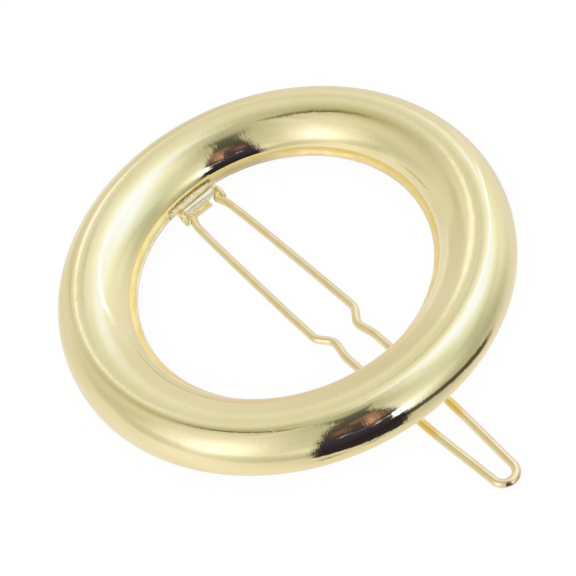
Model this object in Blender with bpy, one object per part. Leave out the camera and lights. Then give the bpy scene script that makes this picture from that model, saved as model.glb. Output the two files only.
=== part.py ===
"""Round hair clip: a domed ring with a sprung wire pin hinged in a small bracket behind it.

Metres, +Z up. +X runs along the pin from its hinge to its tip, and the domed front of the ring faces +Z.
The origin lies under the middle of the clip's outline, on the surface that the clip stands on.
"""
import math

import bmesh
import bpy
from mathutils import Matrix, Vector

# Ring: a hollow domed section, turned about the ring's centre. Its crown lies nearer its outer edge.
RING_RADIUS = 0.0250
SECTION_WIDTH = 0.00775
CROWN_INSET = 0.0028
CROWN_HEIGHT = 0.00415
OUTER_EQUATOR = 0.00033
INNER_EQUATOR = 0.00135
SKIRT_FOOT = 0.00068
SHELL_WALL = 0.0006
RING_STEPS = 80
OUTSIDE_STEPS = 9
INSIDE_STEPS = 4

# Back plate: a flat ring inside the shell, with a bevelled inner rim
PLATE_THICKNESS = 0.00045
RIM_WIDTH = 0.00096
LIP_HEIGHT = 0.00012
RIM_HEIGHT = 0.00085

# Clearances
SEAM_GAP = 0.0002
RUNNING_GAP = 0.0003
CUT_OVERRUN = 0.001

# Hinge axis: inside the rim's lip, and soldered a little to one side of the ring's centre
HINGE_INSET = 0.00119
HINGE_SHIFT = -0.0003

# Spring pin: one loop of round wire, its two ends turned outward on the hinge axis
WIRE_DIAMETER = 0.0009
ROOT_HALF_WIDTH = 0.00185
SHOULDER_HALF_WIDTH = 0.00228
BODY_HALF_WIDTH = 0.00258
KNEE_HALF_WIDTH = 0.00272
WAIST_HALF_WIDTH = 0.00160
NECK_HALF_WIDTH = 0.00196
RIM_HALF_WIDTH = 0.00174
TIP_HALF_WIDTH = 0.00122
END_BEND_RADIUS = 0.00055
END_PROUD = 0.00015
SHOULDER_REACH = 0.0022
BODY_REACH = 0.0131
KNEE_REACH = 0.0238
WAIST_REACH = 0.0261
NECK_REACH = 0.0285
RIM_REACH = 0.0401
TIP_REACH = 0.0496
WIRE_SIDES_RESOLUTION = 2
WIRE_STEP = 0.0009
BEND_STEPS = 5
TIP_STEPS = 10

# Hinge bracket: a folded strip under the back plate, with a front wall, two holed ears and a slotted hem
SHEET = 0.0003
EAR_GAP = 0.0002
WALL_GAP = 0.00025
BASE_LENGTH = 0.0033
BASE_CORNER = 0.0006
EAR_RADIUS = 0.00085
EAR_TOP_ANGLE = math.radians(135)
EAR_LENGTH = 0.0007
EAR_HEEL = 0.0004
WALL_BEND = 0.0004
WALL_DROP = 0.0014
WALL_SHOULDER = 0.0009
FOOT_HALF_WIDTH = 0.0012
FOOT_LENGTH = 0.0005
SLOT_LENGTH = 0.00065
SLOT_HEIGHT = 0.0002
SLOT_SPACING = 0.0008
CORNER_STEPS = 5
ROUND_STEPS = 20

# Solder: a short rough bead laid over the rim's bevel
BEAD_THICKNESS = 0.0002
BEAD_HALF_ANGLE = math.radians(7.5)
BEAD_STEPS = 20
BEAD_END_SHARE = 0.2
BEAD_TOP_SHARE = 0.8
BEAD_ROUGHNESS_SHARE = 0.07
BEAD_WAVES = (7.0, 3.1)
BEAD_FOOT = 0.0001

# Faces that meet at less than this angle are shaded smooth
SMOOTH_ANGLE = math.radians(35)

# Finish of each piece: colour, metallic value, roughness
POLISHED_GOLD = ((0.86, 0.76, 0.47), 1.0, 0.10)
DULL_GOLD = ((0.80, 0.66, 0.36), 1.0, 0.30)
STAMPED_GOLD = ((0.83, 0.70, 0.42), 1.0, 0.22)
WIRE_GOLD = ((0.84, 0.70, 0.38), 1.0, 0.18)
SOLDER_GOLD = ((0.62, 0.52, 0.33), 1.0, 0.40)

# Sizes worked out from those above
WIRE_RADIUS = WIRE_DIAMETER / 2
CREASE_RADIUS = RING_RADIUS - SECTION_WIDTH
LIP_RADIUS = CREASE_RADIUS - RIM_WIDTH
HINGE_REACH = LIP_RADIUS - HINGE_INSET
CROWN_RADIUS = RING_RADIUS - CROWN_INSET
RIM_RADIUS = CREASE_RADIUS - SEAM_GAP
PIN_HEIGHT = -(RUNNING_GAP + WIRE_RADIUS)
EAR_INNER = ROOT_HALF_WIDTH + WIRE_RADIUS + EAR_GAP
EAR_OUTER = EAR_INNER + SHEET
HOLE_RADIUS = WIRE_RADIUS + EAR_GAP
BASE_HALF_WIDTH = EAR_INNER + SHEET / 2
BASE_TOP = -SEAM_GAP
BASE_BOTTOM = BASE_TOP - SHEET
WALL_FRONT = -(HINGE_REACH + WIRE_RADIUS + WALL_GAP)
FOOT_TOP = BASE_TOP - WALL_DROP
FOOT_BOTTOM = FOOT_TOP - SHEET
PIN_REACH = TIP_REACH + TIP_HALF_WIDTH + WIRE_RADIUS - HINGE_REACH
STAND_OFF = -FOOT_BOTTOM
RING_OFFSET = -(PIN_REACH - RING_RADIUS) / 2


def make_material(name, finish):
    """A metal with the given colour, metallic value and roughness."""
    colour, metallic, roughness = finish
    material = bpy.data.materials.new(name)
    material.use_nodes = True
    shader = material.node_tree.nodes["Principled BSDF"]
    shader.inputs["Base Color"].default_value = (*colour, 1.0)
    shader.inputs["Metallic"].default_value = metallic
    shader.inputs["Roughness"].default_value = roughness
    return material


def add_object(name, data, finish=None, parent=None):
    """A named object in the scene, with its material and its parent."""
    obj = bpy.data.objects.new(name, data)
    bpy.context.scene.collection.objects.link(obj)
    if finish:
        data.materials.append(make_material(name, finish))
    obj.parent = parent
    return obj


def mesh_from(bm, name):
    """A mesh from the bmesh, its faces turned outward and its round stretches shaded smooth."""
    bmesh.ops.recalc_face_normals(bm, faces=bm.faces)
    mesh = bpy.data.meshes.new(name)
    bm.to_mesh(mesh)
    bm.free()
    mesh.shade_smooth()
    mesh.set_sharp_from_angle(angle=SMOOTH_ANGLE)
    return mesh


def turned(name, section):
    """A closed ring: the section's (radius, height) points spun once round Z."""
    bm = bmesh.new()
    corners = [bm.verts.new((radius, 0, height)) for radius, height in section]
    edges = [bm.edges.new((a, b)) for a, b in zip(corners, corners[1:] + corners[:1])]
    bmesh.ops.spin(bm, geom=corners + edges, cent=(0, 0, 0), axis=(0, 0, 1),
                   angle=2 * math.pi, steps=RING_STEPS, use_merge=True)
    return mesh_from(bm, name)


def extruded(bm, outline, along):
    """A prism: the outline's points make one face, pushed out by the vector along."""
    face = bm.faces.new([bm.verts.new(point) for point in outline])
    pushed = bmesh.ops.extrude_face_region(bm, geom=[face])
    verts = [item for item in pushed["geom"] if isinstance(item, bmesh.types.BMVert)]
    bmesh.ops.translate(bm, verts=verts, vec=along)


def arc(centre, radius, start, end, steps):
    """Points (a, b) on an arc about the centre, from the start angle to the end angle."""
    angles = [start + (end - start) * i / steps for i in range(steps + 1)]
    return [(centre[0] + radius * math.cos(t), centre[1] + radius * math.sin(t)) for t in angles]


def dome_arc(inset, steps):
    """The dome's curve, from the back plane over the crown to its inner side: two quarter ellipses."""
    outer_rise = CROWN_HEIGHT - OUTER_EQUATOR - inset
    inner_rise = CROWN_HEIGHT - INNER_EQUATOR - inset
    outer_across = CROWN_INSET - inset
    inner_across = SECTION_WIDTH - CROWN_INSET - inset
    back_angle = -math.asin(OUTER_EQUATOR / outer_rise)
    points = []
    for t in [back_angle] + [math.pi / 2 * i / steps for i in range(steps)]:
        points.append((CROWN_RADIUS + outer_across * math.cos(t), OUTER_EQUATOR + outer_rise * math.sin(t)))
    for t in [math.pi / 2 * (1 + i / steps) for i in range(steps + 1)]:
        points.append((CROWN_RADIUS + inner_across * math.cos(t), INNER_EQUATOR + inner_rise * math.sin(t)))
    return points


def front_shell(parent):
    """The polished dome: one wall of even thickness, open at the back, with a short skirt round the hole."""
    outside = dome_arc(0, OUTSIDE_STEPS)
    inside = dome_arc(SHELL_WALL, INSIDE_STEPS)
    skirt = [(CREASE_RADIUS, SKIRT_FOOT), (CREASE_RADIUS + SHELL_WALL, SKIRT_FOOT)]
    mesh = turned("front_shell", outside + skirt + inside[::-1])
    return add_object("front_shell", mesh, POLISHED_GOLD, parent)


def back_plate(parent):
    """The flat ring that closes the shell's back, thickened to a bevelled rim round the hole."""
    inner_wall = dome_arc(SHELL_WALL, INSIDE_STEPS)[0][0]
    plate_edge = inner_wall - SEAM_GAP
    section = [
        (LIP_RADIUS, 0),
        (plate_edge, 0),
        (plate_edge, PLATE_THICKNESS),
        (RIM_RADIUS, PLATE_THICKNESS),
        (RIM_RADIUS, RIM_HEIGHT),
        (LIP_RADIUS, LIP_HEIGHT),
    ]
    return add_object("back_plate", turned("back_plate", section), DULL_GOLD, parent)


def leg_curve(reach):
    """Half the loop's width at a distance from the hinge: a smooth curve through the leg's widths."""
    knots = [
        (END_BEND_RADIUS, ROOT_HALF_WIDTH),
        (SHOULDER_REACH, SHOULDER_HALF_WIDTH),
        (BODY_REACH, BODY_HALF_WIDTH),
        (KNEE_REACH, KNEE_HALF_WIDTH),
        (WAIST_REACH, WAIST_HALF_WIDTH),
        (NECK_REACH, NECK_HALF_WIDTH),
        (RIM_REACH, RIM_HALF_WIDTH),
        (TIP_REACH, TIP_HALF_WIDTH),
    ]
    chords = [(w1 - w0) / (x1 - x0) for (x0, w0), (x1, w1) in zip(knots, knots[1:])]
    slopes = [chords[0]]
    for before, after in zip(chords, chords[1:]):
        slopes.append(2 * before * after / (before + after) if before * after > 0 else 0)
    slopes.append(chords[-1])
    i = sum(reach > x for x, _ in knots[1:-1])
    (x0, w0), (x1, w1) = knots[i], knots[i + 1]
    span = x1 - x0
    t = (reach - x0) / span
    width = w0 * (1 + 2 * t) * (1 - t) ** 2 + w1 * t * t * (3 - 2 * t)
    return width + span * (slopes[i] * t * (1 - t) ** 2 - slopes[i + 1] * t * t * (1 - t))


def pin_path():
    """The wire's centre line, about the hinge axis: one end, its leg, the tip, and the mirrored leg."""
    stub_end = EAR_OUTER + END_PROUD
    bend_centre = (END_BEND_RADIUS, ROOT_HALF_WIDTH + END_BEND_RADIUS)
    half = [(0, stub_end), (0, (stub_end + bend_centre[1]) / 2)]
    half += arc(bend_centre, END_BEND_RADIUS, math.pi, 1.5 * math.pi, BEND_STEPS)
    count = round((TIP_REACH - END_BEND_RADIUS) / WIRE_STEP)
    for i in range(1, count):
        reach = END_BEND_RADIUS + (TIP_REACH - END_BEND_RADIUS) * i / count
        half.append((reach, leg_curve(reach)))
    tip = arc((TIP_REACH, 0), TIP_HALF_WIDTH, math.pi / 2, -math.pi / 2, TIP_STEPS)
    mirrored = [(x, -y) for x, y in half[::-1]]
    return [Vector((x, y, 0)) for x, y in half + tip + mirrored]


def spring_pin(parent):
    """The wire loop, as a round bar along its path with closed ends."""
    curve = bpy.data.curves.new("spring_pin", "CURVE")
    curve.dimensions = "3D"
    curve.bevel_depth = WIRE_RADIUS
    curve.bevel_resolution = WIRE_SIDES_RESOLUTION
    curve.use_fill_caps = True
    path = pin_path()
    spline = curve.splines.new("POLY")
    spline.points.add(len(path) - 1)
    for point, place in zip(spline.points, path):
        point.co = (*place, 1)
    spline.use_smooth = True
    return add_object("spring_pin", curve, WIRE_GOLD, parent)


def cutter(name, mesh, parent):
    """A hidden solid that a Boolean reads."""
    obj = add_object(name, mesh, parent=parent)
    obj.hide_render = True
    obj.display_type = "WIRE"
    return obj


def boolean(obj, other, operation):
    """Joins another solid to the object, or cuts it away."""
    modifier = obj.modifiers.new(other.name, "BOOLEAN")
    modifier.operation = operation
    modifier.solver = "EXACT"
    modifier.object = other


def base_prism(bm):
    """The bracket's flat base, with rounded rear corners."""
    front = WALL_FRONT - WALL_BEND
    corner_x = WALL_FRONT - BASE_LENGTH + BASE_CORNER
    corner_y = BASE_HALF_WIDTH - BASE_CORNER
    outline = [(front, -BASE_HALF_WIDTH), (front, BASE_HALF_WIDTH)]
    outline += arc((corner_x, corner_y), BASE_CORNER, math.pi / 2, math.pi, CORNER_STEPS)
    outline += arc((corner_x, -corner_y), BASE_CORNER, math.pi, 1.5 * math.pi, CORNER_STEPS)
    extruded(bm, [(x, y, BASE_BOTTOM) for x, y in outline], (0, 0, SHEET))


def wall_prism(bm):
    """The front wall: a strip bent down from the base, then forward into a short foot."""
    inside_bend = WALL_BEND - SHEET
    top_centre = (WALL_FRONT - WALL_BEND, BASE_TOP - WALL_BEND)
    foot_centre = (WALL_FRONT + inside_bend, FOOT_TOP + inside_bend)
    section = arc(top_centre, WALL_BEND, math.pi / 2, 0, CORNER_STEPS)
    section += arc(foot_centre, inside_bend, math.pi, 1.5 * math.pi, CORNER_STEPS)
    section += [(WALL_FRONT + FOOT_LENGTH, FOOT_TOP), (WALL_FRONT + FOOT_LENGTH, FOOT_BOTTOM)]
    section += arc(foot_centre, WALL_BEND, 1.5 * math.pi, math.pi, CORNER_STEPS)
    section += arc(top_centre, inside_bend, 0, math.pi / 2, CORNER_STEPS)
    tail = WALL_FRONT - WALL_BEND - SHEET
    section += [(tail, BASE_BOTTOM), (tail, BASE_TOP)]
    outline = [(x, -BASE_HALF_WIDTH, z) for x, z in section]
    extruded(bm, outline, (0, 2 * BASE_HALF_WIDTH, 0))


def wall_trim(bm, side):
    """What is cut from one side of the wall, so that it narrows below the pin."""
    shoulder = BASE_TOP - WALL_SHOULDER
    floor = FOOT_BOTTOM - CUT_OVERRUN
    beyond = BASE_HALF_WIDTH + CUT_OVERRUN
    outline = [
        (BASE_HALF_WIDTH, shoulder),
        (FOOT_HALF_WIDTH, FOOT_TOP + SHEET),
        (FOOT_HALF_WIDTH, floor),
        (beyond, floor),
        (beyond, shoulder),
    ]
    back = WALL_FRONT - WALL_BEND
    length = WALL_BEND + FOOT_LENGTH + CUT_OVERRUN
    extruded(bm, [(back, side * y, z) for y, z in outline], (length, 0, 0))


def wall_slot(bm, side):
    """One of the two slots just above the fold, which leave a narrow tab between them."""
    near = side * SLOT_SPACING / 2
    far = near + side * SLOT_LENGTH
    back = WALL_FRONT - SHEET - CUT_OVERRUN
    front = WALL_FRONT + CUT_OVERRUN
    floor = FOOT_TOP + WALL_BEND - SHEET
    outline = [(back, near), (front, near), (front, far), (back, far)]
    extruded(bm, [(x, y, floor) for x, y in outline], (0, 0, SLOT_HEIGHT))


def ear_prism(bm, side):
    """One ear: a plate across the hinge axis, round about the pin's end."""
    back = WALL_FRONT - EAR_LENGTH
    outline = [(back, BASE_TOP - SHEET / 2), (back, BASE_BOTTOM - EAR_HEEL)]
    outline += arc((-HINGE_REACH, PIN_HEIGHT), EAR_RADIUS, -math.pi / 2, EAR_TOP_ANGLE, ROUND_STEPS)
    extruded(bm, [(x, side * EAR_INNER, z) for x, z in outline], (0, side * SHEET, 0))


def pin_holes(bm):
    """The drill through both ears on the hinge axis."""
    place = Matrix.Translation((-HINGE_REACH, 0, PIN_HEIGHT)) @ Matrix.Rotation(math.pi / 2, 4, "X")
    bmesh.ops.create_cone(bm, cap_ends=True, segments=ROUND_STEPS, radius1=HOLE_RADIUS,
                          radius2=HOLE_RADIUS, depth=2 * (EAR_OUTER + CUT_OVERRUN), matrix=place)


def both_sides(make):
    """Makes the same solid on both sides of the bracket."""
    def make_pair(bm):
        make(bm, -1)
        make(bm, 1)
    return make_pair


def hinge_bracket(parent):
    """The folded bracket: the base and wall joined, trimmed and slotted, then the ears and their holes."""
    bm = bmesh.new()
    base_prism(bm)
    obj = add_object("hinge_bracket", mesh_from(bm, "hinge_bracket"), STAMPED_GOLD, parent)
    steps = [
        ("bracket_wall", wall_prism, "UNION"),
        ("bracket_trims", both_sides(wall_trim), "DIFFERENCE"),
        ("bracket_slots", both_sides(wall_slot), "DIFFERENCE"),
        ("bracket_ears", both_sides(ear_prism), "UNION"),
        ("bracket_holes", pin_holes, "DIFFERENCE"),
    ]
    for name, make, operation in steps:
        bm = bmesh.new()
        make(bm)
        boolean(obj, cutter(name, mesh_from(bm, name), parent), operation)
    return obj


def bead_section(swell):
    """The bead's section as (radius, height): down the rim's bevel, with its foot over the lip."""
    lip = Vector((LIP_RADIUS, LIP_HEIGHT))
    slope = Vector((RIM_RADIUS, RIM_HEIGHT)) - lip
    away = Vector((-slope.y, slope.x)).normalized()
    thick = BEAD_THICKNESS * swell
    low = lip + away * SEAM_GAP
    high = low + slope * BEAD_TOP_SHARE * swell
    foot = Vector((LIP_RADIUS - SEAM_GAP, 0))
    toe = foot - Vector((BEAD_FOOT + thick / 2, 0))
    return [foot, low, high, high + away * thick / 2, (low + high) / 2 + away * thick, toe]


def solder_bead(parent):
    """The solder: its section carried round a short arc, swelling, lumpy and closed at both ends."""
    bm = bmesh.new()
    rings = []
    for i in range(BEAD_STEPS + 1):
        share = 2 * i / BEAD_STEPS - 1
        swell = BEAD_END_SHARE + (1 - BEAD_END_SHARE) * math.sqrt(1 - share ** 4)
        swell += sum(math.sin(wave * i) for wave in BEAD_WAVES) * BEAD_ROUGHNESS_SHARE
        angle = math.pi + share * BEAD_HALF_ANGLE - HINGE_SHIFT / LIP_RADIUS
        turn = Matrix.Rotation(angle, 3, "Z")
        rings.append([bm.verts.new(turn @ Vector((x, 0, z))) for x, z in bead_section(swell)])
    for a, b in zip(rings, rings[1:]):
        for j, k in zip(range(len(a)), [*range(1, len(a)), 0]):
            bm.faces.new((a[j], a[k], b[k], b[j]))
    bm.faces.new(rings[0])
    bm.faces.new(rings[-1])
    return add_object("solder_bead", mesh_from(bm, "solder_bead"), SOLDER_GOLD, parent)


def build():
    """Clears the scene and makes the clip about the ring's centre and the pin about its hinge."""
    for obj in list(bpy.data.objects):
        bpy.data.objects.remove(obj, do_unlink=True)
    ring_centre = add_object("ring_centre", None)
    ring_centre.location = (RING_OFFSET, 0, STAND_OFF)
    bracket_centre = add_object("bracket_centre", None, parent=ring_centre)
    bracket_centre.location = (0, HINGE_SHIFT, 0)
    hinge_axis = add_object("hinge_axis", None, parent=bracket_centre)
    hinge_axis.location = (-HINGE_REACH, 0, PIN_HEIGHT)
    front_shell(ring_centre)
    back_plate(ring_centre)
    solder_bead(ring_centre)
    hinge_bracket(bracket_centre)
    spring_pin(hinge_axis)


build()
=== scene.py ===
"""Dressed scene of the hair clip: a polished gold ring with its wire pin, folded bracket and solder.

Metres, in the CAD frame: +X runs along the pin from its hinge to its tip, and +Z is up.
"""

import math

import bmesh
import bpy
from mathutils import Matrix, Vector, noise


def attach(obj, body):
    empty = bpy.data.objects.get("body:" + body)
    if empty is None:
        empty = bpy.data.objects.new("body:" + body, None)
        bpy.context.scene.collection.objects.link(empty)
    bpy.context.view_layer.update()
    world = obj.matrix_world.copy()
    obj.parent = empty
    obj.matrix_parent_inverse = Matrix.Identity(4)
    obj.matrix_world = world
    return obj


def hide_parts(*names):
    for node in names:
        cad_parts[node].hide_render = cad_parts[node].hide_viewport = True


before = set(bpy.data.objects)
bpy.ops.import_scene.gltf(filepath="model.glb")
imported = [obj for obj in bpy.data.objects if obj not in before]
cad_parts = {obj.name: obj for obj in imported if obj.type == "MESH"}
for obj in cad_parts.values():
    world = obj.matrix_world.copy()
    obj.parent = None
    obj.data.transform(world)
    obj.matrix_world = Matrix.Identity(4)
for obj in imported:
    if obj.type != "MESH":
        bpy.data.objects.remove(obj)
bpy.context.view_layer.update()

MM = 0.001

# Sizes of the ring, in millimetres, as part.py has them
RING_RADIUS = 25.0
SECTION_WIDTH = 7.75
SHELL_WALL = 0.6
PLATE_THICKNESS = 0.45
RIM_WIDTH = 0.96
HINGE_INSET = 1.19
HINGE_SHIFT = -0.3
STAND_OFF = 1.9
RING_OFFSET = -5.585
CREASE_RADIUS = RING_RADIUS - SECTION_WIDTH
LIP_RADIUS = CREASE_RADIUS - RIM_WIDTH
HINGE_REACH = LIP_RADIUS - HINGE_INSET
RING_CENTRE = Vector((RING_OFFSET, 0, STAND_OFF))

# The dome's section, in millimetres: a hair closer to the photograph's reflections than in part.py
CROWN_INSET = 2.905
CROWN_HEIGHT = 4.195
OUTER_EQUATOR = 0.466
INNER_EQUATOR = 0.433
INNER_REACH = 5.137
DOME_FOOT = 0.86
EDGE_ROLL = 0.06
EDGE_DROP = 0.01
CROWN_RADIUS = RING_RADIUS - CROWN_INSET
DOME_STEPS = 34
INSIDE_STEPS = 6
DOME_TURNS = 400

# The crown leans inward at the front of the ring: by how much, and the turn where it leans most
CROWN_LEAN = 0.2
LEAN_TURN = math.radians(-50)

# The dome's unevenness, in millimetres: the length, height and offset of each noise. It pushes the surface
# away from a line inside the dome, at the height of the section's middle.
UNEVENNESS = ((5.0, 0.006, Vector((0, 0, 0))), (1.7, 0.0012, Vector((9, 0, 0))))
SECTION_MIDDLE = 0.5

# Dents in the dome, in millimetres about the ring's centre: place, radius and depth
DENTS = (
    ((13.2, 19.0, 3.9), 1.5, 0.010),
    ((11.6, 19.9, 4.0), 0.9, 0.008),
    ((15.2, 18.3, 3.5), 1.1, 0.008),
    ((18.9, -12.4, 4.1), 0.35, 0.012),
    ((22.7, -1.9, 4.0), 0.8, 0.006),
    ((-15.1, 15.7, 4.1), 0.8, 0.005),
    ((-19.0, -7.6, 4.0), 1.2, 0.006),
)

# Scratches on the dome, in millimetres about the ring's centre: start, end and half width
SCRATCHES = (
    ((22.55, -1.9), (22.95, -0.5), 0.05),
    ((23.0, 0.0), (23.35, 1.9), 0.06),
    ((22.7, -3.6), (22.4, -2.4), 0.035),
    ((12.4, 19.6), (15.8, 17.0), 0.04),
    ((13.4, 18.6), (14.9, 18.9), 0.03),
    ((17.1, -14.2), (18.6, -13.7), 0.03),
    ((-9.3, 20.4), (-7.4, 20.9), 0.03),
    ((18.6, 12.6), (19.5, 10.9), 0.03),
)

# The rim's section, in millimetres. Its bevel is a little rounded, and its grain is left by a file.
RIM_EDGE = 16.97
RIM_TOP = 0.72
LIP_ROLL = 0.13
LIP_HEIGHT = 0.06
SEAM_WIDTH = 0.25
PLATE_CLEARANCE = 0.12
BEVEL_FOOT = Vector((LIP_RADIUS + LIP_ROLL, LIP_ROLL + 0.04))
BEVEL_ROUNDING = Vector((-0.6, 0.75)) * 0.07
BEVEL_STEPS = 8
RIM_GRAIN = 0.012
GRAIN_PER_MM = 3
GRAIN_PER_TURN = 9
RIM_TURNS = 320

# The solder, in millimetres and degrees: its run along the lip, and the part of it that hangs over the hole
SOLDER_START = 172.5
SOLDER_TURN = 23.0
HANG_START = 174
HANG_TURN = 22
HANG = 0.40
SOLDER_FILM = 0.09
SOLDER_LUMPS = 0.24
RAGGED_FROM = 0.55
SOLDER_STEPS = 110
SOLDER_POINTS = 18

# Sizes of the wire, in millimetres, as part.py has them. LEG holds reaches from the hinge and half widths.
WIRE_RADIUS = 0.45
PIN_HEIGHT = -0.75
END_BEND_RADIUS = 0.55
STUB_END = 2.95
LEG = ((0.55, 1.85), (2.2, 2.28), (13.1, 2.58), (23.8, 2.72), (26.1, 1.60), (28.5, 1.96), (40.1, 1.74),
       (49.6, 1.22))

# How the wire is drawn: the step along it, the points round it, its waver and the share left at its ends
WIRE_STEP = 0.3
WIRE_SIDES = 20
WIRE_WAVER = 0.006
END_TAPER = {0: 0.72, 1: 0.995}

# The bracket's stamped edges, in millimetres
STAMPED_ROUNDING = 0.10
WELD = 0.002

# The photograph's view of the ring
VIEW_AZIMUTH = -21.44
VIEW_ELEVATION = 49.926
VIEW_ROLL = 21.551
VIEW_DISTANCE = 162.5
VIEW_TARGET = Vector((2.155, -1.0625, 0))
FOCAL_PIXELS = 1516.8
IMAGE_PIXELS = 576
SENSOR_WIDTH = 36.0


# Geometry

def add_piece(name, mesh, body, material, replaced, in_reflections=True):
    """A finished piece that rides on a body, in the place of a CAD node that it hides."""
    obj = bpy.data.objects.new(name, mesh)
    bpy.context.scene.collection.objects.link(obj)
    obj.data.materials.append(material)
    obj.visible_glossy = in_reflections
    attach(obj, body)
    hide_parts(replaced)
    return obj


def grid_mesh(name, rows, closed, sharp):
    """A mesh over rows of points, smooth except where its faces meet at more than the sharp angle.

    Each row is a loop. The rows close on each other too, or else the first and the last row are filled.
    """
    count = len(rows[0])
    verts = [point * MM for row in rows for point in row]
    faces = []
    for i in range(len(rows) if closed else len(rows) - 1):
        k = (i + 1) % len(rows)
        for j in range(count):
            m = (j + 1) % count
            faces.append((i * count + j, i * count + m, k * count + m, k * count + j))
    if not closed:
        faces.append(tuple(range(count)))
        faces.append(tuple(range((len(rows) - 1) * count, len(rows) * count)))
    mesh = bpy.data.meshes.new(name)
    mesh.from_pydata(verts, [], faces)
    bm = bmesh.new()
    bm.from_mesh(mesh)
    bmesh.ops.recalc_face_normals(bm, faces=bm.faces)
    bm.to_mesh(mesh)
    bm.free()
    mesh.shade_smooth()
    mesh.set_sharp_from_angle(angle=math.radians(sharp))
    return mesh


def arc(centre, radius, start, end, steps):
    """Points on an arc about the centre, between two angles in degrees."""
    points = []
    for i in range(steps + 1):
        t = math.radians(start + (end - start) * i / steps)
        points.append((centre[0] + radius * math.cos(t), centre[1] + radius * math.sin(t)))
    return points


def dome_curve(inset, steps):
    """The dome's section from the back plane over the crown to its inner side."""
    outer_rise = CROWN_HEIGHT - OUTER_EQUATOR - inset
    inner_rise = CROWN_HEIGHT - INNER_EQUATOR - inset
    outer_across = CROWN_INSET - inset
    inner_across = INNER_REACH - inset
    back = -math.asin(OUTER_EQUATOR / outer_rise)
    points = []
    for t in [back, back / 2] + [math.pi / 2 * i / steps for i in range(steps)]:
        points.append((CROWN_RADIUS + outer_across * math.cos(t), OUTER_EQUATOR + outer_rise * math.sin(t)))
    foot = math.pi / 2 - math.asin((DOME_FOOT - INNER_EQUATOR) / inner_rise)
    for t in [math.pi / 2 + foot * i / steps for i in range(steps + 1)]:
        points.append((CROWN_RADIUS + inner_across * math.cos(t), INNER_EQUATOR + inner_rise * math.sin(t)))
    return points


def turned(name, section, steps, relief, sharp):
    """A closed ring of the section's (radius, height) points, with its surface moved by a relief."""
    rows = []
    for i in range(steps):
        angle = 2 * math.pi * i / steps
        row = []
        for radius, height in section:
            point = Vector((radius * math.cos(angle), radius * math.sin(angle), height))
            row.append(relief(point, radius, angle) + RING_CENTRE)
        rows.append(row)
    return grid_mesh(name, rows, True, sharp)


def dome_relief(point, _radius, angle):
    """The dome's slow unevenness, its few shallow dents and its leaning crown."""
    wave = sum(noise.noise(point / length + offset) * height for length, height, offset in UNEVENNESS)
    for place, reach, depth in DENTS:
        share = (point - Vector(place)).length / reach
        if share < 1:
            wave -= depth * (1 - share * share) ** 2
    middle = Vector((CROWN_RADIUS * math.cos(angle), CROWN_RADIUS * math.sin(angle), SECTION_MIDDLE))
    lean = CROWN_LEAN * max(0, math.cos(angle - LEAN_TURN)) ** 2 * (point.z / CROWN_HEIGHT) ** 2
    inward = Vector((-math.cos(angle), -math.sin(angle), 0))
    return point + (point - middle).normalized() * wave + inward * lean


def ring_dome(material):
    """The polished dome, with a narrow rolled edge round the hole."""
    section = dome_curve(0, DOME_STEPS)
    radius, height = section[-1]
    section += arc((radius + EDGE_ROLL, height - EDGE_DROP), EDGE_ROLL, 190, 270, 5)
    section += [(radius + SHELL_WALL / 2, height - EDGE_DROP - EDGE_ROLL)]
    section += dome_curve(SHELL_WALL, INSIDE_STEPS)[::-1]
    mesh = turned("ring_dome", section, DOME_TURNS, dome_relief, 40)
    add_piece("ring_dome", mesh, "clip_frame", material, "front_shell", in_reflections=False)


def rim_relief(point, radius, angle):
    """The rim's rough finish: it was filed and plated, not polished."""
    if radius > RIM_EDGE:
        return point
    around = Vector((radius * GRAIN_PER_MM, point.z * GRAIN_PER_MM, angle * GRAIN_PER_TURN))
    wave = noise.noise(around) * RIM_GRAIN + noise.noise(around * 2.7) * (RIM_GRAIN / 2)
    return point + Vector((-math.cos(angle), -math.sin(angle), 1)) * wave


def ring_rim(material):
    """The closing plate with its bevelled rim: a rolled lip, a slightly rounded bevel and a top edge."""
    plate_edge = dome_curve(SHELL_WALL, INSIDE_STEPS)[0][0] - PLATE_CLEARANCE
    seam = CREASE_RADIUS + SEAM_WIDTH
    section = [(plate_edge, 0), (plate_edge, PLATE_THICKNESS), (seam, PLATE_THICKNESS)]
    section += [(seam, RIM_TOP - 0.04), (RIM_EDGE + 0.06, RIM_TOP - 0.01)]
    top = Vector((RIM_EDGE - 0.01, RIM_TOP - 0.04))
    for i in range(BEVEL_STEPS + 1):
        t = i / BEVEL_STEPS
        place = top.lerp(BEVEL_FOOT, t) + BEVEL_ROUNDING * math.sin(math.pi * t)
        section.append((place.x, place.y))
    section += arc((LIP_RADIUS + LIP_ROLL, LIP_HEIGHT), LIP_ROLL, 120, 180, 5)
    section += [(LIP_RADIUS, 0.02), (LIP_RADIUS + 0.03, 0)]
    mesh = turned("ring_rim", section, RIM_TURNS, rim_relief, 60)
    add_piece("ring_rim", mesh, "clip_frame", material, "back_plate", in_reflections=False)


def leg_width(reach):
    """Half the loop's width at a distance from the hinge, as part.py draws it."""
    chords = [(w1 - w0) / (x1 - x0) for (x0, w0), (x1, w1) in zip(LEG, LEG[1:])]
    slopes = [chords[0]]
    for before, after in zip(chords, chords[1:]):
        slopes.append(2 * before * after / (before + after) if before * after > 0 else 0)
    slopes.append(chords[-1])
    i = sum(reach > x for x, _ in LEG[1:-1])
    (x0, w0), (x1, w1) = LEG[i], LEG[i + 1]
    span = x1 - x0
    t = (reach - x0) / span
    width = w0 * (1 + 2 * t) * (1 - t) ** 2 + w1 * t * t * (3 - 2 * t)
    return width + span * (slopes[i] * t * (1 - t) ** 2 - slopes[i + 1] * t * t * (1 - t))


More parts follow.
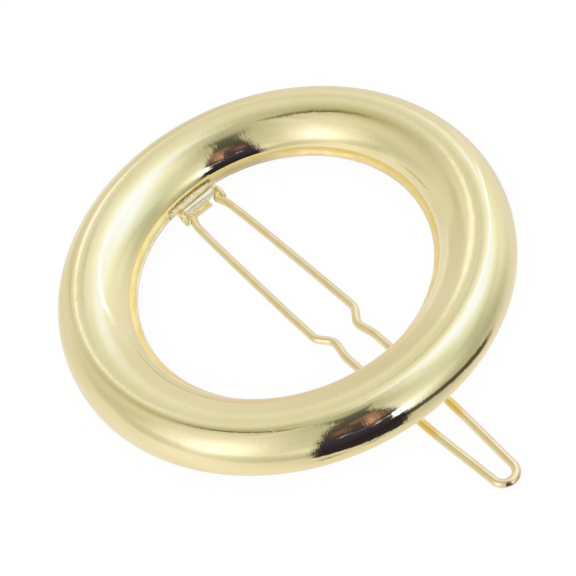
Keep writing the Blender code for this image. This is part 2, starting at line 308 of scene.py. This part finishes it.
def pin_path():
    """The wire's centre line about the hinge axis."""
    centre = (END_BEND_RADIUS, LEG[0][1] + END_BEND_RADIUS)
    half = [(0, STUB_END), (0, (STUB_END + centre[1]) / 2)]
    half += arc(centre, END_BEND_RADIUS, 180, 270, 10)
    tip_reach, tip_width = LEG[-1]
    count = round((tip_reach - END_BEND_RADIUS) / WIRE_STEP)
    for i in range(1, count):
        reach = END_BEND_RADIUS + (tip_reach - END_BEND_RADIUS) * i / count
        half.append((reach, leg_width(reach)))
    tip = arc((tip_reach, 0), tip_width, 90, -90, 24)
    return half + tip + [(x, -y) for x, y in half[::-1]]


def pin_wire(material):
    """The wire loop with its rounded ends."""
    hinge = RING_CENTRE + Vector((-HINGE_REACH, HINGE_SHIFT, PIN_HEIGHT))
    path = [Vector((x, y, 0)) + hinge for x, y in pin_path()]
    last = len(path) - 1
    rows = []
    for i, place in enumerate(path):
        along = (path[min(i + 1, last)] - path[max(i - 1, 0)]).normalized()
        across = along.cross(Vector((0, 0, 1)))
        radius = WIRE_RADIUS * (1 + WIRE_WAVER * noise.noise(place / 1.3))
        radius *= END_TAPER.get(min(i, last - i), 1)
        row = []
        for j in range(WIRE_SIDES):
            t = 2 * math.pi * j / WIRE_SIDES
            row.append(place + across * (radius * math.cos(t)) + Vector((0, 0, radius * math.sin(t))))
        rows.append(row)
    mesh = grid_mesh("pin_wire", rows, False, 70)
    add_piece("pin_wire", mesh, "pin", material, "spring_pin", in_reflections=False)


def folded_bracket(material):
    """The bracket: the CAD shape with its stamped edges rounded over."""
    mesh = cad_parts["hinge_bracket"].data.copy()
    mesh.name = "folded_bracket"
    mesh.materials.clear()
    bm = bmesh.new()
    bm.from_mesh(mesh)
    bmesh.ops.remove_doubles(bm, verts=bm.verts, dist=WELD * MM)
    bmesh.ops.dissolve_limit(bm, angle_limit=math.radians(1), verts=bm.verts, edges=bm.edges)
    bm.to_mesh(mesh)
    bm.free()
    if mesh.has_custom_normals:
        mesh.attributes.remove(mesh.attributes["custom_normal"])
    obj = add_piece("folded_bracket", mesh, "clip_frame", material, "hinge_bracket")
    bevel = obj.modifiers.new("rounded_edges", "BEVEL")
    bevel.width = STAMPED_ROUNDING * MM
    bevel.segments = 3
    bevel.limit_method = "ANGLE"
    bevel.angle_limit = math.radians(35)
    mesh.shade_smooth()
    mesh.set_sharp_from_angle(angle=math.radians(50))


def solder(material):
    """The solder: a run over the rim's lip, with a ragged edge on the bevel above it."""
    away = Vector((-0.55, 0.83))
    rows = []
    for i in range(SOLDER_STEPS + 1):
        turn = SOLDER_START + SOLDER_TURN * i / SOLDER_STEPS
        share = 2 * i / SOLDER_STEPS - 1
        swell = math.sqrt(max(0.0, 1 - share ** 4))
        over = HANG * max(0.0, math.sin(math.pi * (turn - HANG_START) / HANG_TURN)) ** 0.6
        low = Vector((LIP_RADIUS + 0.05 - over, 0.04 + 0.05 * swell))
        high = BEVEL_FOOT.lerp(Vector((RIM_EDGE, RIM_TOP)), 0.2 + 0.36 * swell)
        row = []
        for j in range(SOLDER_POINTS):
            t = j / (SOLDER_POINTS - 1)
            edge = max(0.0, t - RAGGED_FROM) / (1 - RAGGED_FROM)
            lump = noise.noise(Vector((i * 0.30, j * 0.45, 7)))
            lump += 0.5 * noise.noise(Vector((i * 0.7, j * 0.8, 1)))
            thick = (SOLDER_FILM * (1 - edge) + SOLDER_LUMPS * edge * lump) * swell * min(1, 0.35 + 3 * t)
            row.append(low.lerp(high, t) + away * max(thick, -0.03))
        # The underside, inside the rim
        row += [high + Vector((0.15, -0.2)), Vector((LIP_RADIUS + 0.1, 0.02)), low + Vector((0.03, -0.06))]
        angle = math.radians(turn)
        rows.append([Vector((radius * math.cos(angle), radius * math.sin(angle), height)) + RING_CENTRE
                     for radius, height in row])
    mesh = grid_mesh("solder", rows, False, 60)
    add_piece("solder", mesh, "clip_frame", material, "solder_bead")


# Materials

class Tree:
    """A node tree, with a short call for each kind of node that is used."""

    def __init__(self, tree):
        self.tree = tree

    def node(self, kind, **settings):
        node = self.tree.nodes.new(kind)
        for name, value in settings.items():
            setattr(node, name, value)
        return node

    def put(self, socket, value):
        if isinstance(value, bpy.types.NodeSocket):
            self.tree.links.new(value, socket)
        else:
            socket.default_value = value

    def math(self, operation, a, b=None, c=None):
        node = self.node("ShaderNodeMath", operation=operation)
        for socket, value in zip(node.inputs, (a, b, c)):
            if value is not None:
                self.put(socket, value)
        return node.outputs[0]

    def times(self, a, b):
        return self.math("MULTIPLY", a, b)

    def smooth(self, value, low, high, to_low=0.0, to_high=1.0):
        node = self.node("ShaderNodeMapRange", interpolation_type="SMOOTHSTEP")
        for socket, item in zip(node.inputs, (value, low, high, to_low, to_high)):
            self.put(socket, item)
        return node.outputs[0]

    def within(self, value, half, soft):
        """1 where the value is less than half from zero, with an edge as wide as soft."""
        return self.smooth(self.math("ABSOLUTE", value), half + soft / 2, half - soft / 2)

    def mix(self, share, a, b):
        node = self.node("ShaderNodeMix", data_type="RGBA")
        self.put(node.inputs[0], share)
        for socket, value in ((node.inputs[6], a), (node.inputs[7], b)):
            self.put(socket, value if isinstance(value, bpy.types.NodeSocket) else (*value, 1.0))
        return node.outputs[2]

    def noise(self, vector, scale, detail=2.0, roughness=0.5):
        node = self.node("ShaderNodeTexNoise")
        self.put(node.inputs["Vector"], vector)
        self.put(node.inputs["Scale"], scale)
        self.put(node.inputs["Detail"], detail)
        self.put(node.inputs["Roughness"], roughness)
        return node.outputs["Fac"]

    def stretched(self, coordinates, scales):
        """A place with each coordinate scaled, for a noise that is drawn out along one of them."""
        return self.vector(*(self.times(value, scale) for value, scale in zip(coordinates, scales)))

    def vector(self, x, y, z):
        node = self.node("ShaderNodeCombineXYZ")
        for socket, value in zip(node.inputs, (x, y, z)):
            self.put(socket, value)
        return node.outputs[0]

    def stroke(self, x, y, start, end):
        """The distance from a line between two places in the XY plane."""
        length = math.dist(start, end)
        ux, uy = (end[0] - start[0]) / length, (end[1] - start[1]) / length
        along = self.math("MULTIPLY_ADD", x, ux, -start[0] * ux - start[1] * uy)
        along = self.math("ADD", along, self.times(y, uy))
        aside = self.math("MULTIPLY_ADD", x, -uy, start[0] * uy - start[1] * ux)
        aside = self.math("ADD", aside, self.times(y, ux))
        from_middle = self.math("ABSOLUTE", self.math("SUBTRACT", along, length / 2))
        past = self.math("SUBTRACT", from_middle, length / 2)
        return self.math("MAXIMUM", past, self.math("ABSOLUTE", aside))

    def split(self, vector):
        node = self.node("ShaderNodeSeparateXYZ")
        self.put(node.inputs[0], vector)
        return node.outputs

    def ramp(self, value, stops):
        node = self.node("ShaderNodeValToRGB")
        self.put(node.inputs[0], value)
        elements = node.color_ramp.elements
        while len(elements) < len(stops):
            elements.new(0.5)
        for element, (place, colour) in zip(elements, stops):
            element.position = place
            element.color = (*colour, 1.0)
        return node.outputs[0]


def ring_coordinates(t):
    """The place in millimetres about the ring's centre, its coordinates and its radius."""
    place = t.node("ShaderNodeTexCoord").outputs["Object"]
    x, y, z = t.split(place)
    x = t.math("MULTIPLY_ADD", x, 1 / MM, -RING_OFFSET)
    y = t.times(y, 1 / MM)
    z = t.math("MULTIPLY_ADD", z, 1 / MM, -STAND_OFF)
    radius = t.math("SQRT", t.math("ADD", t.times(x, x), t.times(y, y)))
    return t.vector(x, y, z), x, y, z, radius


def metal(name, colour, roughness):
    """A new metal and its tree. Its colour, roughness and relief are linked afterwards."""
    material = bpy.data.materials.new(name)
    material.use_nodes = True
    t = Tree(material.node_tree)
    shader = material.node_tree.nodes["Principled BSDF"]
    shader.inputs["Base Color"].default_value = (*colour, 1.0)
    shader.inputs["Metallic"].default_value = 1.0
    shader.inputs["Roughness"].default_value = roughness
    return material, t, shader


def bump(t, shader, height, strength, distance):
    """Gives the shader a relief, its height in millimetres times the distance."""
    node = t.node("ShaderNodeBump")
    node.inputs["Strength"].default_value = strength
    node.inputs["Distance"].default_value = distance * MM
    t.put(node.inputs["Height"], height)
    t.put(shader.inputs["Normal"], node.outputs[0])


# The dome's tones
CHAMPAGNE_PALE = (0.87, 0.78, 0.47)
CHAMPAGNE = (0.85, 0.76, 0.43)
PIT_BROWN = (0.50, 0.42, 0.24)
FRONT_REFLECTION_ORANGE = (0.93, 0.69, 0.30)
FOOT_GOLD = (1.00, 0.87, 0.48)

# The rim's and the solder's tones
RIM_PALE = (1.00, 0.84, 0.42)
RIM_YELLOW = (0.96, 0.76, 0.28)
CREVICE_REFLECTION_YELLOW = (0.97, 0.72, 0.20)
LIP_PALE = (0.93, 0.80, 0.54)
RIM_BURNT = (0.34, 0.24, 0.09)
SOLDER_DULL = (0.79, 0.65, 0.32)
SOLDER_PALE = (0.87, 0.75, 0.44)
SOLDER_STREAK = (0.64, 0.52, 0.26)
SOLDER_BURNT = (0.30, 0.21, 0.08)
DROP_YELLOW = (0.90, 0.56, 0.08)
DROP_PLACE = (-15.8, -2.8, 0.1)

# The bracket's and the wire's tones
PINK_GOLD = (1.00, 0.90, 0.78)
PINK_DEEP = (0.98, 0.87, 0.64)
BEND_HIGHLIGHT = (1.00, 0.95, 0.72)
DARK_REFLECTION_OLIVE = (0.30, 0.28, 0.14)
SIDE_YELLOW = (0.95, 0.82, 0.40)
WIRE_PALE = (0.87, 0.75, 0.46)
WIRE_DEEP = (0.85, 0.70, 0.38)
RING_REFLECTION_YELLOW = (0.88, 0.57, 0.13)
END_YELLOW = (0.80, 0.64, 0.20)


def polished_gold():
    """The dome's plating: champagne gold, nearly a mirror, with scratches, pits and faint clouds, and a
    painted orange reflection at the front of its inner edge.
    """
    material, t, shader = metal("polished_gold", (0.86, 0.77, 0.45), 0.06)
    place, x, y, z, radius = ring_coordinates(t)
    clouds = t.smooth(t.noise(place, 0.16, 3), 0.35, 0.65)
    tone = t.mix(clouds, CHAMPAGNE_PALE, CHAMPAGNE)

    # A few pits, where a slow noise lets them through
    pits = t.node("ShaderNodeTexVoronoi", feature="F1")
    t.put(pits.inputs["Vector"], place)
    pits.inputs["Scale"].default_value = 0.55
    pit = t.smooth(pits.outputs["Distance"], 0.075, 0.02)
    pit = t.times(pit, t.smooth(t.noise(place, 0.4, 1), 0.52, 0.58))
    tone = t.mix(t.times(pit, 0.5), tone, PIT_BROWN)

    # The innermost strip at the front of the ring is more orange: a painted reflection of the ring's own gold
    front = t.math("MULTIPLY_ADD", x, 0.93, t.times(y, -0.36))
    front_reflection = t.times(t.smooth(radius, 19.05, 18.75), t.smooth(front, 13.0, 17.0, 0.0, 0.6))
    tone = t.mix(front_reflection, tone, FRONT_REFLECTION_ORANGE)

    # The foot of the inner side is less polished and more yellow, on the ring's -Y half
    foot = t.times(t.smooth(z, 1.8, 1.1), t.smooth(radius, 18.0, 17.7))
    foot = t.times(foot, t.smooth(y, 1.9, 0.8))
    tone = t.mix(t.times(foot, 0.7), tone, FOOT_GOLD)
    t.put(shader.inputs["Base Color"], tone)

    streak = t.noise(t.stretched((radius, z, x), (6.0, 6.0, 0.3)), 1.0, 3)
    rough = t.smooth(streak, 0.35, 0.75, 0.035, 0.085)
    ragged = t.math("SUBTRACT", t.noise(place, 3.2, 3, 0.6), 0.5)
    rubbed = None
    for start, end, half in SCRATCHES:
        away = t.math("MULTIPLY_ADD", ragged, 0.3, t.stroke(x, y, start, end))
        line = t.smooth(away, half * 1.5, half * 0.5)
        rubbed = line if rubbed is None else t.math("MAXIMUM", rubbed, line)
    rubbed = t.times(rubbed, t.smooth(z, 2.5, 3.0))
    rough = t.math("MULTIPLY_ADD", rubbed, 0.3, rough)
    rough = t.math("MULTIPLY_ADD", foot, 0.42, rough)
    t.put(shader.inputs["Roughness"], rough)

    # The relief: polishing waves, grooves that run from the crown to the hole, and the marks above
    waves = t.noise(place, 1.3, 2)
    fine = t.noise(place, 6.0, 2)
    turn = t.math("DIVIDE", 85.0, radius)
    across = t.math("MULTIPLY_ADD", x, turn, t.times(z, 1.3))
    grooves = t.noise(t.vector(across, t.times(y, turn), t.times(radius, 1.3)), 1.0, 3, 0.6)
    height = t.times(waves, 0.5)
    height = t.math("MULTIPLY_ADD", fine, 0.05, height)
    brushed = t.smooth(t.noise(place, 0.33, 2), 0.40, 0.66, 0.25, 0.95)
    height = t.math("MULTIPLY_ADD", t.times(grooves, brushed), 1.0, height)
    height = t.math("MULTIPLY_ADD", t.noise(place, 2.6, 3, 0.6), 0.16, height)
    height = t.math("MULTIPLY_ADD", streak, 0.03, height)
    height = t.math("MULTIPLY_ADD", pit, -0.6, height)
    height = t.math("MULTIPLY_ADD", rubbed, -0.25, height)
    bump(t, shader, height, 1.0, 0.010)
    return material


def dull_gold():
    """The rim's plating: a deeper yellow, satin, with blotches, and in the crevice a painted reflection of
    the dome's gold.
    """
    material, t, shader = metal("dull_gold", (0.80, 0.64, 0.28), 0.3)
    place, x, y, _z, radius = ring_coordinates(t)
    blotch = t.noise(t.stretched((radius, x, y), (4.0, 0.45, 0.45)), 1.1, 4)
    tone = t.mix(t.smooth(blotch, 0.35, 0.7), RIM_PALE, RIM_YELLOW)
    # A painted reflection: the crevice by the dome is a deeper yellow, as the dome's gold shows in it
    crevice = t.smooth(radius, LIP_RADIUS + 0.35, RIM_EDGE - 0.05)
    tone = t.mix(t.times(crevice, 0.6), tone, CREVICE_REFLECTION_YELLOW)
    lip = t.smooth(radius, LIP_RADIUS + 0.28, LIP_RADIUS + 0.08)
    tone = t.mix(lip, tone, LIP_PALE)

    # A burnt line along the solder's upper edge
    grain = t.noise(place, 3.4, 3, 0.65)
    beside = t.times(t.within(t.math("ADD", y, 0.9), 3.1, 0.4), t.smooth(x, 0.0, -1.0))
    middle = t.math("MULTIPLY_ADD", grain, 0.25, LIP_RADIUS + 0.30)
    burnt = t.within(t.math("SUBTRACT", radius, middle), 0.13, 0.12)
    burnt = t.times(t.times(beside, burnt), t.smooth(grain, 0.78, 0.50))
    tone = t.mix(burnt, tone, RIM_BURNT)
    t.put(shader.inputs["Base Color"], tone)
    t.put(shader.inputs["Roughness"], t.smooth(blotch, 0.3, 0.75, 0.40, 0.56))
    height = t.math("MULTIPLY_ADD", t.noise(place, 5.0, 3), 0.6, blotch)
    bump(t, shader, height, 0.8, 0.02)
    return material


def stamped_gold():
    """The bracket's plating: pinkish gold with the marks of its tool, and a painted highlight and dark
    reflection on its bend.
    """
    material, t, shader = metal("stamped_gold", (0.86, 0.74, 0.50), 0.2)
    place, x, y, z, _radius = ring_coordinates(t)
    blotch = t.noise(place, 1.4, 3)
    tone = t.mix(t.smooth(blotch, 0.35, 0.7), PINK_GOLD, PINK_DEEP)
    # A painted highlight along the bracket's top bend
    bend_highlight = t.times(t.smooth(z, -0.62, -0.30), t.smooth(x, -16.3, -16.0))
    tone = t.mix(bend_highlight, tone, BEND_HIGHLIGHT)

    # A painted dark reflection on the bend, at the ear that is nearer to the camera
    bend_dark_reflection = t.times(t.within(t.math("ADD", y, 1.75), 0.6, 0.3), t.within(t.math("ADD", z, 0.13), 0.075, 0.05))
    tone = t.mix(t.times(bend_dark_reflection, t.smooth(x, -16.3, -16.1)), tone, DARK_REFLECTION_OLIVE)

    # The ears and the foot are yellower, and the ears are rougher
    side = t.smooth(t.math("ABSOLUTE", t.math("ADD", y, -HINGE_SHIFT)), 1.85, 2.15)
    low = t.smooth(z, -1.1, -1.4)
    tone = t.mix(t.times(t.math("MAXIMUM", side, low), 0.6), tone, SIDE_YELLOW)
    t.put(shader.inputs["Base Color"], tone)
    satin = t.smooth(blotch, 0.3, 0.7, 0.20, 0.28)
    t.put(shader.inputs["Roughness"], t.math("MULTIPLY_ADD", side, 0.22, satin))
    lines = t.noise(t.stretched((x, y, z), (0.6, 1.5, 7.0)), 1.0, 2)
    bump(t, shader, t.math("ADD", lines, blotch), 0.5, 0.010)
    return material


def wire_gold():
    """The wire's plating: satin gold with faint draw lines, and a painted reflection of the ring's gold,
    deeper yellow, beneath the ring.
    """
    material, t, shader = metal("wire_gold", (0.85, 0.72, 0.42), 0.2)
    place, x, y, z, radius = ring_coordinates(t)
    blotch = t.noise(place, 0.8, 3)
    tone = t.mix(t.smooth(blotch, 0.35, 0.7), WIRE_PALE, WIRE_DEEP)
    # A painted reflection of the ring's gold, deeper yellow, where the wire runs beneath the ring
    under = t.times(t.smooth(radius, 24.6, 25.1), t.smooth(radius, 27.9, 26.4))
    tone = t.mix(t.times(under, 0.85), tone, RING_REFLECTION_YELLOW)
    end = t.smooth(x, -HINGE_REACH + 3.5, -HINGE_REACH + 0.5)
    tone = t.mix(t.times(end, 0.5), tone, END_YELLOW)
    t.put(shader.inputs["Base Color"], tone)
    lines = t.noise(t.stretched((x, y, z), (0.5, 9.0, 9.0)), 1.0, 3)
    t.put(shader.inputs["Roughness"], t.smooth(lines, 0.3, 0.7, 0.05, 0.13))
    bump(t, shader, t.math("MULTIPLY_ADD", blotch, 0.8, lines), 0.6, 0.006)
    return material


def solder_gold():
    """The solder's plating: satin, streaked, burnt dark along its upper edge, with a drop of deep yellow."""
    material, t, shader = metal("solder_gold", (0.70, 0.58, 0.32), 0.35)
    place, _x, y, z, radius = ring_coordinates(t)
    grain = t.noise(place, 2.6, 4, 0.65)
    tone = t.mix(t.smooth(grain, 0.36, 0.6), SOLDER_DULL, SOLDER_PALE)
    run = t.noise(t.stretched((radius, y, z), (5.0, 0.5, 5.0)), 1.0, 3)
    tone = t.mix(t.smooth(run, 0.52, 0.66, 0.0, 0.6), tone, SOLDER_STREAK)
    burnt = t.times(t.smooth(radius, LIP_RADIUS + 0.26, LIP_RADIUS + 0.38), t.smooth(grain, 0.74, 0.48))
    tone = t.mix(burnt, tone, SOLDER_BURNT)
    drop = t.node("ShaderNodeVectorMath", operation="DISTANCE")
    t.put(drop.inputs[0], place)
    drop.inputs[1].default_value = DROP_PLACE
    tone = t.mix(t.smooth(drop.outputs["Value"], 0.36, 0.22), tone, DROP_YELLOW)
    t.put(shader.inputs["Base Color"], tone)
    t.put(shader.inputs["Roughness"], t.math("MULTIPLY_ADD", burnt, 0.15, 0.34))
    height = t.times(grain, t.math("MULTIPLY_ADD", burnt, 0.8, 0.2))
    bump(t, shader, t.math("MULTIPLY_ADD", run, 0.3, height), 1.0, 0.06)
    return material


# Studio

# The table: half its width in metres, and how far the camera sees through it
TABLE_HALF = 3.0
CLEAR_SHARE = 0.94


def floor():
    """A wide pale table. The camera sees the clip's shadow on it and, through the rest, the white page."""
    bm = bmesh.new()
    bmesh.ops.create_grid(bm, x_segments=2, y_segments=2, size=TABLE_HALF)
    mesh = bpy.data.meshes.new("table_top")
    bm.to_mesh(mesh)
    bm.free()
    obj = bpy.data.objects.new("table_top", mesh)
    bpy.context.scene.collection.objects.link(obj)
    material = bpy.data.materials.new("white_table")
    material.use_nodes = True
    t = Tree(material.node_tree)
    shader = material.node_tree.nodes["Principled BSDF"]
    grain = t.noise(t.node("ShaderNodeTexCoord").outputs["Object"], 400.0, 3)
    t.put(shader.inputs["Base Color"], t.mix(grain, (0.93, 0.93, 0.93), (0.90, 0.90, 0.90)))
    shader.inputs["Roughness"].default_value = 0.9
    clear = t.node("ShaderNodeBsdfTransparent")
    blend = t.node("ShaderNodeMixShader")
    path = t.node("ShaderNodeLightPath")
    t.put(blend.inputs[0], t.times(path.outputs["Is Camera Ray"], CLEAR_SHARE))
    t.put(blend.inputs[1], shader.outputs[0])
    t.put(blend.inputs[2], clear.outputs[0])
    output = material.node_tree.nodes["Material Output"]
    t.put(output.inputs["Surface"], blend.outputs[0])
    mesh.materials.append(material)
    obj.visible_glossy = False


def camera():
    """The photograph's camera."""
    azimuth = math.radians(VIEW_AZIMUTH)
    elevation = math.radians(VIEW_ELEVATION)
    roll = math.radians(VIEW_ROLL)
    toward = Vector((math.cos(elevation) * math.cos(azimuth), math.cos(elevation) * math.sin(azimuth),
                     math.sin(elevation)))
    place = toward * VIEW_DISTANCE
    forward = (VIEW_TARGET - place).normalized()
    right = forward.cross(Vector((0, 0, 1))).normalized()
    down = forward.cross(right)
    side = right * math.cos(roll) + down * math.sin(roll)
    low = down * math.cos(roll) - right * math.sin(roll)
    data = bpy.data.cameras.new("camera")
    data.sensor_width = SENSOR_WIDTH
    data.lens = FOCAL_PIXELS / IMAGE_PIXELS * SENSOR_WIDTH
    data.clip_start = 0.005
    data.clip_end = 20.0
    obj = bpy.data.objects.new("camera", data)
    bpy.context.scene.collection.objects.link(obj)
    turn = Matrix((side, -low, -forward)).transposed().to_4x4()
    obj.matrix_world = Matrix.Translation((place + RING_CENTRE) * MM) @ turn
    bpy.context.scene.camera = obj


def lamp(name, place, size, power):
    """A soft square lamp that looks at the clip. Polished metal shows the painted studio instead of it."""
    data = bpy.data.lights.new(name, "AREA")
    data.size = size
    data.energy = power
    obj = bpy.data.objects.new(name, data)
    bpy.context.scene.collection.objects.link(obj)
    obj.location = place
    obj.rotation_euler = Vector(place).to_track_quat("Z", "Y").to_euler()
    obj.visible_glossy = False


def box_mask(t, azimuth, elevation, centre, reach, soft, lean=0.0):
    """Where the direction lies in a soft box of degrees about the centre."""
    across = t.math("WRAP", t.math("SUBTRACT", azimuth, centre[0]), 180.0, -180.0)
    up = t.math("SUBTRACT", elevation, centre[1])
    if lean:
        up = t.math("MULTIPLY_ADD", across, -lean, up)
    return t.times(t.within(across, reach[0], soft[0]), t.within(up, reach[1], soft[1]))


def studio():
    """The world: plain light on everything, a white page behind, and the studio that the metal shows."""
    world = bpy.data.worlds.new("studio")
    bpy.context.scene.world = world
    world.use_nodes = True
    t = Tree(world.node_tree)
    background = world.node_tree.nodes["Background"]
    direction = t.node("ShaderNodeTexCoord").outputs["Generated"]
    x, y, z = t.split(direction)
    degrees = 180 / math.pi
    azimuth = t.times(t.math("ARCTAN2", y, x), degrees)
    elevation = t.times(t.math("ARCSINE", z), degrees)

    # The same direction with ragged edges, for the dark shapes
    jitter_az = t.math("SUBTRACT", t.noise(direction, 26.0, 6, 0.7), 0.5)
    jitter_el = t.math("SUBTRACT", t.noise(t.vector(y, z, x), 22.0, 6, 0.7), 0.5)
    hairs = t.noise(t.vector(t.times(azimuth, 0.10), t.times(elevation, 0.9), 0.0), 1.0, 3, 0.6)
    ragged_az = t.math("MULTIPLY_ADD", jitter_az, 10.0, azimuth)
    ragged_az = t.math("MULTIPLY_ADD", t.math("SUBTRACT", hairs, 0.5), 12.0, ragged_az)
    ragged_el = t.math("MULTIPLY_ADD", jitter_el, 12.0, elevation)

    def box(centre, reach, soft, lean=0.0):
        return box_mask(t, azimuth, elevation, centre, reach, soft, lean)

    def ragged(centre, reach, soft, lean=0.0):
        return box_mask(t, ragged_az, ragged_el, centre, reach, soft, lean)

    height = t.math("MULTIPLY_ADD", elevation, 1 / 180, 0.5)
    wall = t.ramp(height, [
        (0.00, (0.98, 0.93, 0.90)),
        (0.21, (0.90, 0.86, 0.85)),
        (0.28, (0.85, 0.80, 0.78)),
        (0.42, (0.70, 0.70, 0.65)),
        (0.55, (1.20, 1.25, 1.25)),
        (0.75, (0.80, 0.80, 0.80)),
        (0.89, (0.85, 0.85, 0.85)),
        (1.00, (0.60, 0.60, 0.60)),
    ])
    # The studio's panels, from back to front: centre, reach and softness in degrees, lean, density, colour
    panels = [
        ("right_wall", box, (42, 4), (32, 42), (68, 44), 0.3, 0.80, (0.45, 0.48, 0.42)),
        ("back_wall", box, (-129, 32), (42, 49), (20, 32), 0.2, 0.90, (0.45, 0.44, 0.28)),
        ("back_gap", box, (158, 11), (35, 19), (9, 14), 0.3, 0.95, (0.23, 0.17, 0.02)),
        ("large_softbox", box, (86, 54), (57, 25), (51, 20), 0.2, 0.16, (2.40, 2.70, 2.90)),
        ("large_softbox_core", box, (87, 59), (30, 17), (47, 22), 0.1, 1.00, (1.15, 1.30, 2.00)),
        ("left_softbox", box, (-77, 36), (40, 23), (90, 50), -0.2, 0.80, (2.75, 2.60, 3.20)),
        ("left_table", box, (-90, -15), (30, 30), (70, 70), -0.3, 0.65, (1.30, 1.25, 1.30)),
        ("front_glow", box, (-5, 10), (30, 8), (36, 33), -0.2, 1.00, (1.10, 1.10, 1.05)),
        ("front_lamp", box, (4, -2), (7, 13), (20, 26), 0.3, 0.42, (1.65, 1.90, 3.20)),
        ("table_edge", box, (-74, -1), (80, 9), (12, 8), -0.3, 0.20, (0.05, 0.03, 0.03)),
        ("cable", ragged, (27, -27), (30, 5.5), (12, 4), -0.45, 0.95, (0.08, 0.07, 0.05)),
        ("strip_light", box, (108, 44), (31, 8), (36, 10), -0.3, 0.90, (1.10, 1.20, 1.60)),
        ("edge_light", box, (114, 36), (1.5, 21), (4, 12), 0.0, 0.95, (1.50, 1.65, 2.60)),
        ("back_sheet", box, (-154, 2), (41, 45), (16, 70), -0.3, 0.63, (1.05, 1.03, 1.05)),
        ("top_shade", box, (-59, 55), (75, 24), (41, 41), 0.3, 0.52, (0.26, 0.31, 0.12)),
        ("side_sheet", box, (125, 2), (47, 26), (47, 25), 0.3, 0.92, (0.92, 0.90, 0.94)),
        ("front_shade", box, (-38, 24), (26, 24), (37, 36), 0.2, 0.61, (0.24, 0.24, 0.07)),
        ("back_pane", box, (169, 43), (4, 7), (6, 6), 0.0, 0.60, (1.40, 1.45, 1.60)),
        ("back_corner", box, (153, 52), (4, 2), (5, 4), 0.0, 0.50, (0.55, 0.55, 0.50)),
    ]
    colour = wall
    for _name, mask, centre, reach, soft, lean, density, tint in panels:
        share = t.times(mask(centre, reach, soft, lean), density)
        colour = t.mix(share, colour, tint)

    # A beam overhead, along X: a wide faint haze, a soft band, its darker edge and its thin end.
    # Each has its middle, reach and softness along and across the beam, its density and its colour.
    toothed = t.vector(t.times(x, 90.0), t.times(y, 9.0), z)
    teeth = t.math("SUBTRACT", t.noise(toothed, 1.0, 3, 0.6), 0.5)
    beam_y = t.math("MULTIPLY_ADD", teeth, 0.07, y)
    beam_x = t.math("MULTIPLY_ADD", teeth, 0.05, x)
    for middle, reach, soft, density, tint in (
            ((-0.42, -0.040), (0.26, 0.110), (0.24, 0.200), 0.40, (0.40, 0.40, 0.22)),
            ((-0.22, -0.180), (0.21, 0.042), (0.08, 0.040), 0.85, (0.30, 0.28, 0.18)),
            ((-0.19, -0.205), (0.15, 0.016), (0.06, 0.014), 0.90, (0.11, 0.10, 0.07)),
            ((0.12, -0.140), (0.17, 0.008), (0.10, 0.016), 0.60, (0.35, 0.33, 0.22))):
        aside = t.within(t.math("SUBTRACT", beam_y, middle[1]), reach[1], soft[1])
        along = t.within(t.math("SUBTRACT", beam_x, middle[0]), reach[0], soft[0])
        share = t.times(t.times(aside, along), t.smooth(z, 0.3, 0.6, 0.0, density))
        colour = t.mix(share, colour, tint)

    # A dark column, wider and narrower with its height: how high it is, and half its width in degrees
    ragged_height = t.math("MULTIPLY_ADD", ragged_el, 1 / 180, 0.5)
    outline = ((0.28, 20), (0.39, 21), (0.50, 18.5), (0.68, 15), (0.82, 10.5), (0.87, 14), (0.94, 34))
    widest = 40.0
    width = t.ramp(ragged_height, [(place, (half / widest,) * 3) for place, half in outline])
    width = t.times(width, widest)
    off = t.math("ABSOLUTE", t.math("ADD", ragged_az, 17.0))
    column = t.smooth(t.math("SUBTRACT", width, off), -1.5, 1.5)
    foot = t.math("MULTIPLY_ADD", ragged_az, 0.35, ragged_el)
    column = t.times(column, t.smooth(foot, -42.0, -38.0))
    column = t.times(column, t.smooth(elevation, 80.0, 68.0))
    dark = t.ramp(height, [
        (0.30, (0.036, 0.030, 0.040)),
        (0.42, (0.028, 0.022, 0.036)),
        (0.55, (0.055, 0.045, 0.085)),
        (0.67, (0.090, 0.065, 0.075)),
        (0.78, (0.100, 0.098, 0.090)),
        (0.86, (0.130, 0.135, 0.130)),
        (0.94, (0.350, 0.360, 0.320)),
    ])
    # Warm and pale shapes in front of the column
    for centre, reach, soft, tint in (
            ((-9.5, 30), (3.2, 14), (3, 14), (0.42, 0.25, 0.20)),
            ((-11, 22), (1.2, 9), (1.5, 8), (0.75, 0.46, 0.38)),
            ((-24, 27), (3.5, 6), (4, 6), (0.22, 0.13, 0.12)),
            ((-16, 40), (3, 5), (4, 6), (0.22, 0.16, 0.13)),
            ((-23, 12), (1.0, 1.4), (1.5, 1.5), (0.7, 0.75, 1.1)),
            ((-17, 8), (2.5, 0.8), (3, 1.0), (0.20, 0.20, 0.30)),
            ((-9, 7), (0.8, 2.5), (1.5, 1.5), (0.9, 0.95, 1.4))):
        dark = t.mix(ragged(centre, reach, soft), dark, tint)
    colour = t.mix(column, colour, dark)

    # A bright gap beside the column, and thin dark lines under it
    colour = t.mix(ragged((1, 3), (3.5, 7), (2, 3)), colour, (2.20, 2.30, 2.80))
    for centre, reach in (((-31, -40), (7, 0.9)), ((-11, -42), (6, 0.8)), ((7, -43), (3, 0.6))):
        colour = t.mix(ragged(centre, reach, (1.5, 1)), colour, (0.08, 0.06, 0.05))

    # Only the metal shows the studio. The camera sees a white page, and the rest is lit plainly.
    path = t.node("ShaderNodeLightPath")
    plain = (0.80, 0.80, 0.80)
    white = (1.0, 1.0, 1.0)
    seen = t.mix(path.outputs["Is Glossy Ray"], plain, colour)
    seen = t.mix(path.outputs["Is Camera Ray"], seen, white)
    t.put(background.inputs["Color"], seen)
    background.inputs["Strength"].default_value = 1.0


ring_dome(polished_gold())
ring_rim(dull_gold())
pin_wire(wire_gold())
folded_bracket(stamped_gold())
solder(solder_gold())
floor()
camera()
lamp("key_lamp", (0.35, -0.30, 0.60), 0.6, 3.0)
studio()
bpy.context.scene.view_settings.view_transform = "Standard"
